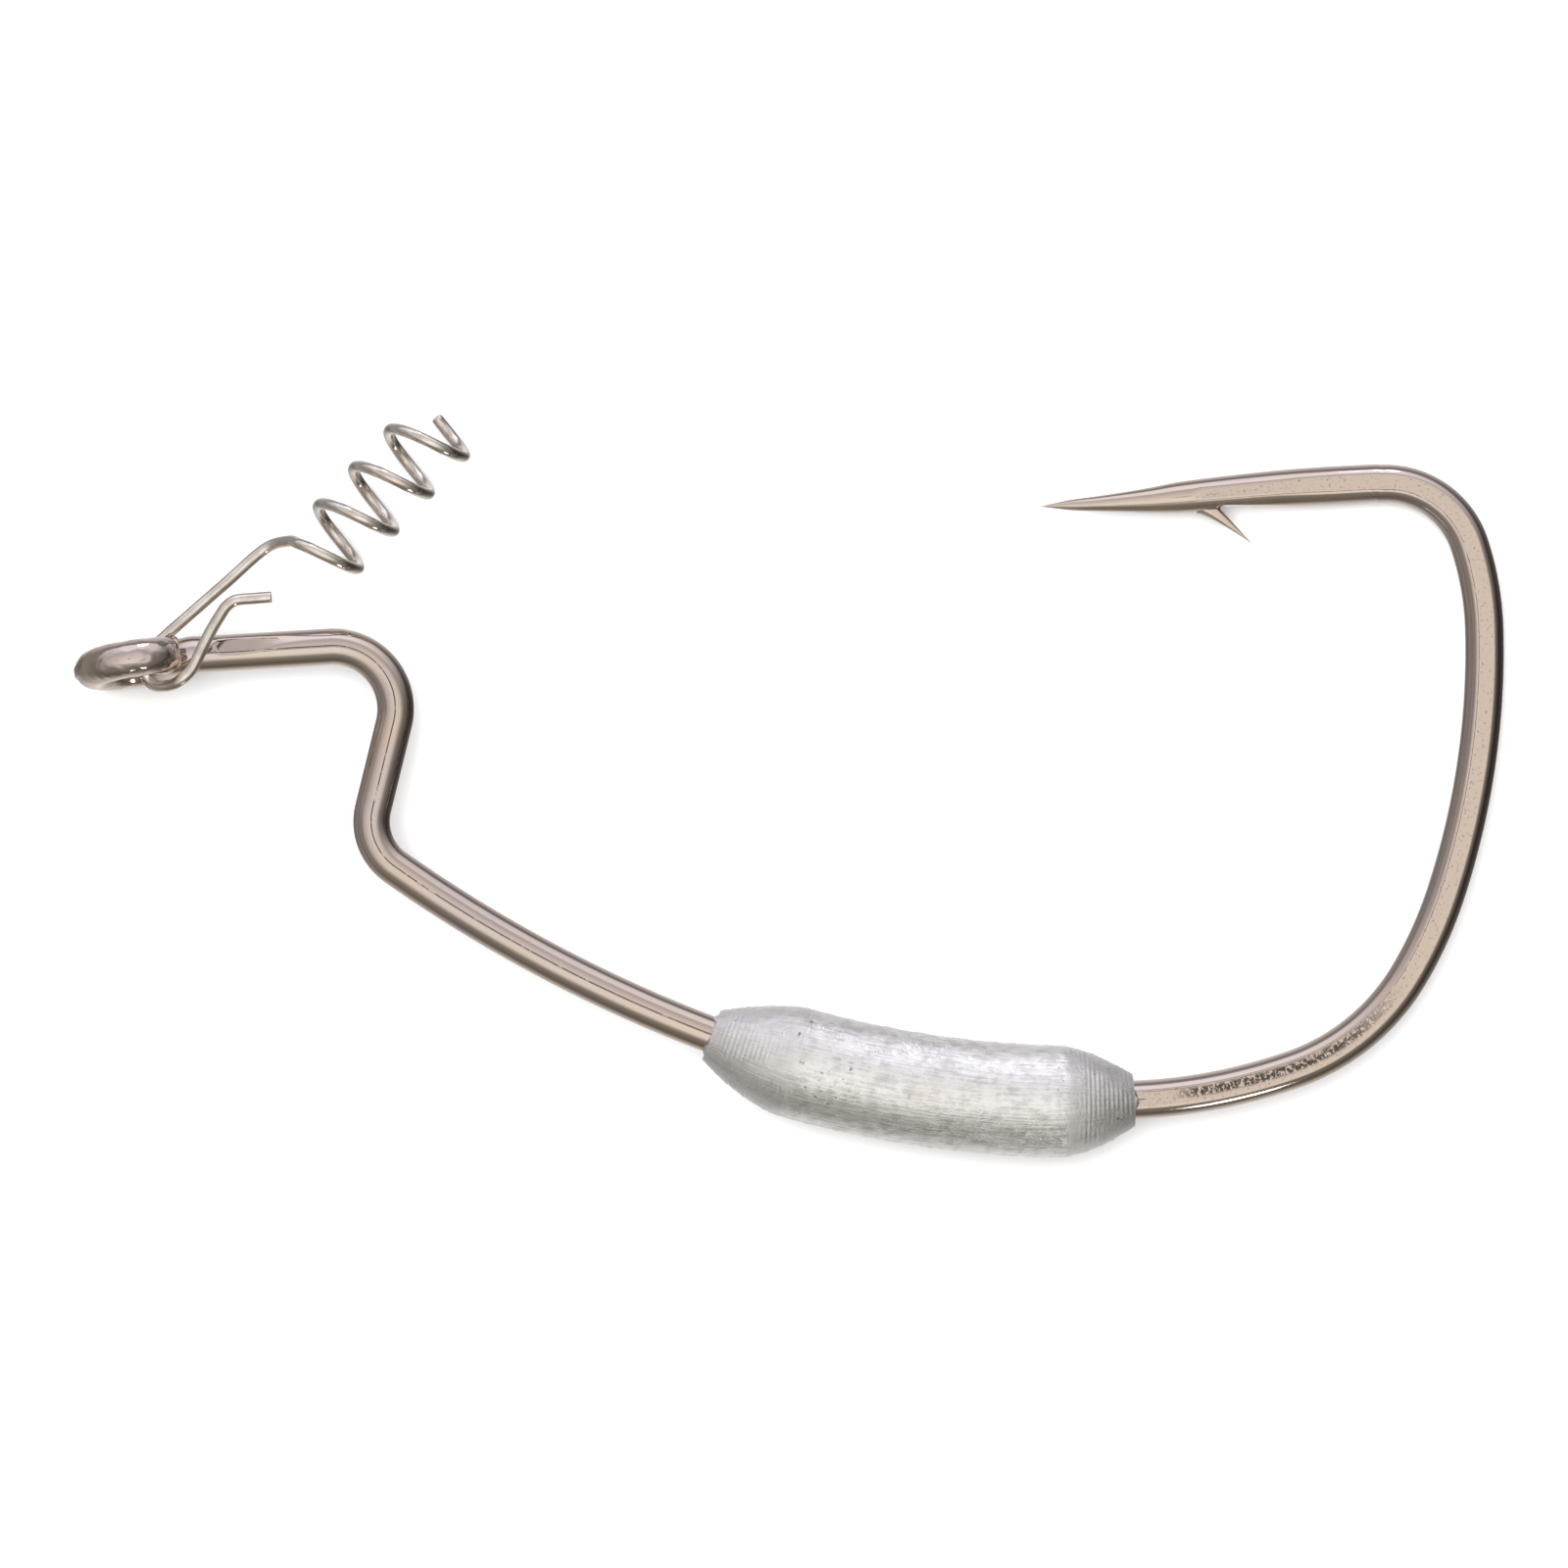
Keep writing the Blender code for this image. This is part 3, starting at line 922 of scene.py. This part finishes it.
def weight_mesh(material):
    points, radii, length = weight_route()
    route = route_object("weight_route", points, radii)
    values = {
        "Sides": 120,
        "Length": length,
        "Front nose": WEIGHT_FRONT_TAPER,
        "Rear nose": WEIGHT_REAR_TAPER,
        "Ring pitch": RING_PITCH,
        "Ring depth": RING_DEPTH,
        "Ridge height": RIDGE_HEIGHT,
        "Skin height": SKIN_HEIGHT,
        "Material": material,
    }
    return run_tree(route, casting_tree(), values)


def flash_mesh(end):
    """The ragged collar of lead that crept out along the wire at one end of the weight."""
    points, _, _ = weight_route()
    centre = points[0] if end == "front" else points[-1]
    inside = points[6] if end == "front" else points[-7]
    inward = (inside - centre).normalized()
    across = Vector((-inward.y, inward.x, 0.0))
    out = Vector((0.0, 0.0, 1.0))
    around, rings = 96, 8
    corners, lengths = [], []
    for ring in range(rings + 1):
        share = ring / rings
        lengths.append(share)
        for index in range(around):
            turn = 2 * pi * index / around
            seed = Vector((cos(turn) * 1.7, sin(turn) * 1.7, 7.0 if end == "front" else 19.0))
            creep = 0.07 + 0.34 * max(noise.fractal(seed, 0.6, 2.2, 4) - 0.12, -0.1)
            wall = FLASH_THICKNESS * (1.0 - share) ** 0.7
            wall += 0.04 * noise.noise(seed * 3.0 + Vector((0, 0, share * 4)))
            reach = WIRE_RADIUS + 0.01 + max(wall, FLASH_LEAST)
            place = centre - inward * (creep * share - 0.15 * (1 - share))
            corners.append(place + (across * cos(turn) + out * sin(turn)) * reach)
    if end == "rear":
        rows = [corners[row * around : (row + 1) * around] for row in range(rings + 1)]
        corners = [corner for row in rows for corner in reversed(row)]
    girth = [2 * pi * 1.1 * index / around for index in range(around)]
    mesh = swept_mesh("flash", corners, around, lengths, girth)
    add_points(mesh, "cone", [0.2] * len(corners))
    return mesh


def keeper_mesh(material):
    coil = coil_points()
    leg = smooth_line([*KEEPER_LEG, coil[0], coil[4]], 12)
    points = leg + coil[5:]
    points.insert(1, points[0].lerp(points[1], 0.35))
    points.insert(-1, points[-1].lerp(points[-2], 0.35))
    radii = [KEEPER_RADIUS] * len(points)
    radii[0] = radii[-1] = KEEPER_RADIUS * KEEPER_END_SHARE
    route = route_object("keeper_route", points, radii)
    return run_tree(route, drawn_wire_tree(), {"Sides": 28, "Material": material})


# ---------------------------------------------------------------- setting out


def lying_matrix(frame):
    """From the hook's own millimetres to where the frame lies."""
    roll = Matrix.Rotation(radians(ROLL), 4, Vector(ROLL_LINE))
    pivot = Vector(frame["record"]["behaviour"]["joints"][0]["pos_m"])
    place = pivot - roll @ (Vector(KEEPER_PIVOT) * MM)
    return Matrix.Translation(place) @ roll @ Matrix.Scale(MM, 4)


def set_out(name, meshes, matrix, material, body, nodes):
    """Joins the meshes, lays them in place and hands the piece to its body."""
    piece = bpy.data.objects.new(name, meshes[0])
    bpy.context.scene.collection.objects.link(piece)
    extras = []
    for mesh in meshes[1:]:
        extra = bpy.data.objects.new(mesh.name, mesh)
        bpy.context.scene.collection.objects.link(extra)
        extras.append(extra)
    if extras:
        with bpy.context.temp_override(
            active_object=piece, object=piece, selected_editable_objects=[piece, *extras]
        ):
            bpy.ops.object.join()
    piece.data.name = name
    piece.data.transform(matrix)
    piece.data.materials.clear()
    piece.data.materials.append(material)
    piece.data.polygons.foreach_set("use_smooth", [True] * len(piece.data.polygons))
    piece.data.update()
    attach(piece, body)
    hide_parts(*nodes)


def studio_surroundings():
    """What the metal mirrors: a lit ceiling, a bright band on one side and darker walls below."""
    world = bpy.data.worlds.new("studio")
    bpy.context.scene.world = world
    world.use_nodes = True
    tree = Tree(world.node_tree)
    direction = tree.node("ShaderNodeTexCoord")
    x = tree.node("ShaderNodeSeparateXYZ", None, {"Vector": direction})
    y, z = tree.also(x, 1), tree.also(x, 2)
    from_top = tree.node("ShaderNodeMath", {"operation": "ARCCOSINE"}, {0: z}) / pi
    flat = (x * x + y * y).at_least(0.0001)
    upper = y.at_least(0.0) ** 2.0 / flat
    lower = y.at_most(0.0) ** 2.0 / flat
    bend_end = x.at_least(0.0) ** 2.0 / flat
    eye_end = x.at_most(0.0) ** 2.0 / flat

    def ramp(*stops):
        stops = [(angle / 180.0, (*colour, 1.0)) for angle, colour in stops]
        return tree.node("ShaderNodeValToRGB", {"stops": stops}, {"Fac": from_top})

    upper_side = ramp(
        (0.0, (0.30, 0.29, 0.30)),
        (2.5, (0.35, 0.34, 0.35)),
        (5.0, (0.86, 0.85, 0.86)),
        (20.0, (0.76, 0.74, 0.75)),
        (42.0, (0.58, 0.56, 0.59)),
        (50.0, (0.66, 0.65, 0.70)),
        (57.0, (1.12, 1.12, 1.22)),
        (86.0, (1.00, 1.00, 1.10)),
        (94.0, (0.28, 0.28, 0.30)),
        (110.0, (0.24, 0.24, 0.26)),
        (122.0, (0.55, 0.54, 0.55)),
        (145.0, (0.75, 0.74, 0.74)),
        (180.0, (0.90, 0.90, 0.90)),
    )
    lower_side = ramp(
        (0.0, (0.30, 0.29, 0.28)),
        (2.5, (0.35, 0.34, 0.33)),
        (5.0, (1.02, 1.00, 0.97)),
        (34.0, (0.98, 0.96, 0.92)),
        (44.0, (0.55, 0.54, 0.50)),
        (54.0, (0.30, 0.29, 0.26)),
        (72.0, (0.20, 0.19, 0.16)),
        (92.0, (0.13, 0.12, 0.10)),
        (108.0, (0.26, 0.25, 0.23)),
        (125.0, (0.62, 0.61, 0.59)),
        (180.0, (0.90, 0.90, 0.88)),
    )
    bend_side = ramp(
        (0.0, (0.30, 0.29, 0.29)),
        (2.5, (0.35, 0.34, 0.34)),
        (5.0, (0.92, 0.90, 0.87)),
        (28.0, (0.84, 0.82, 0.78)),
        (40.0, (0.48, 0.47, 0.45)),
        (54.0, (0.22, 0.22, 0.20)),
        (76.0, (0.14, 0.13, 0.12)),
        (88.0, (0.03, 0.03, 0.03)),
        (118.0, (0.05, 0.05, 0.05)),
        (145.0, (0.10, 0.10, 0.10)),
        (180.0, (0.50, 0.50, 0.50)),
    )
    eye_side = ramp(
        (0.0, (0.30, 0.29, 0.29)),
        (2.5, (0.35, 0.34, 0.34)),
        (5.0, (0.92, 0.90, 0.87)),
        (24.0, (0.80, 0.78, 0.75)),
        (40.0, (0.64, 0.62, 0.60)),
        (54.0, (0.46, 0.45, 0.43)),
        (64.0, (0.22, 0.21, 0.20)),
        (72.0, (0.34, 0.33, 0.31)),
        (84.0, (0.22, 0.21, 0.20)),
        (110.0, (0.30, 0.29, 0.28)),
        (130.0, (0.14, 0.14, 0.13)),
        (180.0, (0.60, 0.60, 0.60)),
    )

    def weigh(amount, colour):
        return tree.mix(amount, grey(0.0), colour)

    def add(first, second):
        return tree.node("ShaderNodeVectorMath", {"operation": "ADD"}, {0: first, 1: second})

    def small_lamp(azimuth, angle, reach, strength):
        towards = Vector((cos(azimuth) * sin(angle), sin(azimuth) * sin(angle), cos(angle)))
        facing = tree.node(
            "ShaderNodeVectorMath", {"operation": "DOT_PRODUCT"}, {0: direction, 1: towards}, output=1
        )
        lit = tree.smooth(facing, cos(reach), cos(reach * 0.6))
        return weigh(lit, (strength, strength, strength, 1.0))

    seen = add(weigh(upper, upper_side), weigh(lower, lower_side))
    seen = add(seen, add(weigh(bend_end, bend_side), weigh(eye_end, eye_side)))
    seen = add(seen, small_lamp(radians(-72.5), radians(80.0), radians(6.5), 5.0))
    seen = add(seen, small_lamp(radians(82.0), radians(84.0), radians(6.0), 3.0))
    plain = tree.node("ShaderNodeLightPath")
    colour = tree.mix(plain, seen, grey(1.0))
    background = tree.node("ShaderNodeBackground", None, {"Color": colour, "Strength": 1.0})
    tree.node("ShaderNodeOutputWorld", None, {"Surface": background})


def studio_floor():
    mesh = bpy.data.meshes.new("floor")
    sides = ((-1, -1), (1, -1), (1, 1), (-1, 1))
    corners = [(x * FLOOR_REACH, y * FLOOR_REACH, 0.0) for x, y in sides]
    mesh.from_pydata(corners, [], [(0, 1, 2, 3)])
    floor = bpy.data.objects.new("floor", mesh)
    bpy.context.scene.collection.objects.link(floor)
    material = bpy.data.materials.new("pale_floor")
    material.use_nodes = True
    shader = material.node_tree.nodes["Principled BSDF"]
    shader.inputs["Base Color"].default_value = grey(0.92)
    shader.inputs["Roughness"].default_value = 1.0
    shader.inputs["Specular IOR Level"].default_value = 0.0
    mesh.materials.append(material)
    floor.visible_glossy = False


def soft_light(centre):
    """A wide soft light above, there for the floor: the metal mirrors the surroundings instead."""
    light = bpy.data.lights.new("soft_overhead", "AREA")
    light.shape = "DISK"
    light.size = OVERHEAD_SIZE
    light.energy = OVERHEAD_POWER
    lamp = bpy.data.objects.new("soft_overhead", light)
    lamp.location = centre + Vector(OVERHEAD_PLACE)
    lamp.rotation_euler = (centre - lamp.location).to_track_quat("-Z", "Y").to_euler()
    lamp.visible_glossy = False
    bpy.context.scene.collection.objects.link(lamp)


def camera_above(low, high):
    """Straight down, with the object's length across most of the picture."""
    centre = (low + high) / 2
    width = (high.x - low.x) * FRAME_TO_OBJECT
    lens = bpy.data.cameras.new("camera")
    lens.sensor_width = CAMERA_SENSOR
    lens.lens = CAMERA_SENSOR * CAMERA_HEIGHT / width
    lens.clip_start = 0.01
    lens.dof.use_dof = False
    camera = bpy.data.objects.new("camera", lens)
    camera.location = (centre.x - CAMERA_TO_LEFT * width, centre.y, centre.z + CAMERA_HEIGHT)
    bpy.context.scene.collection.objects.link(camera)
    bpy.context.scene.camera = camera


def main():
    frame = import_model()
    frame_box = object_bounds()
    low, high = (Vector(corner) for corner in frame_box)
    camera_above(low, high)
    studio_surroundings()
    studio_floor()
    soft_light((low + high) / 2)
    bpy.context.scene.view_settings.view_transform = "Standard"

    matrix = lying_matrix(frame)
    nickel, lead, stainless = black_nickel(), cast_lead(), stainless_wire()
    body = "weighted_hook"
    set_out("forged_hook", [hook_mesh(), barb_mesh()], matrix, nickel, body, ["hook"])
    casting = [weight_mesh(lead), flash_mesh("front"), flash_mesh("rear")]
    set_out("cast_belly_weight", casting, matrix, lead, body, ["belly_weight"])
    wire = [keeper_mesh(stainless)]
    set_out("screw_keeper", wire, matrix, stainless, "keeper", ["keeper_spring"])

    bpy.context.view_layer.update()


main()
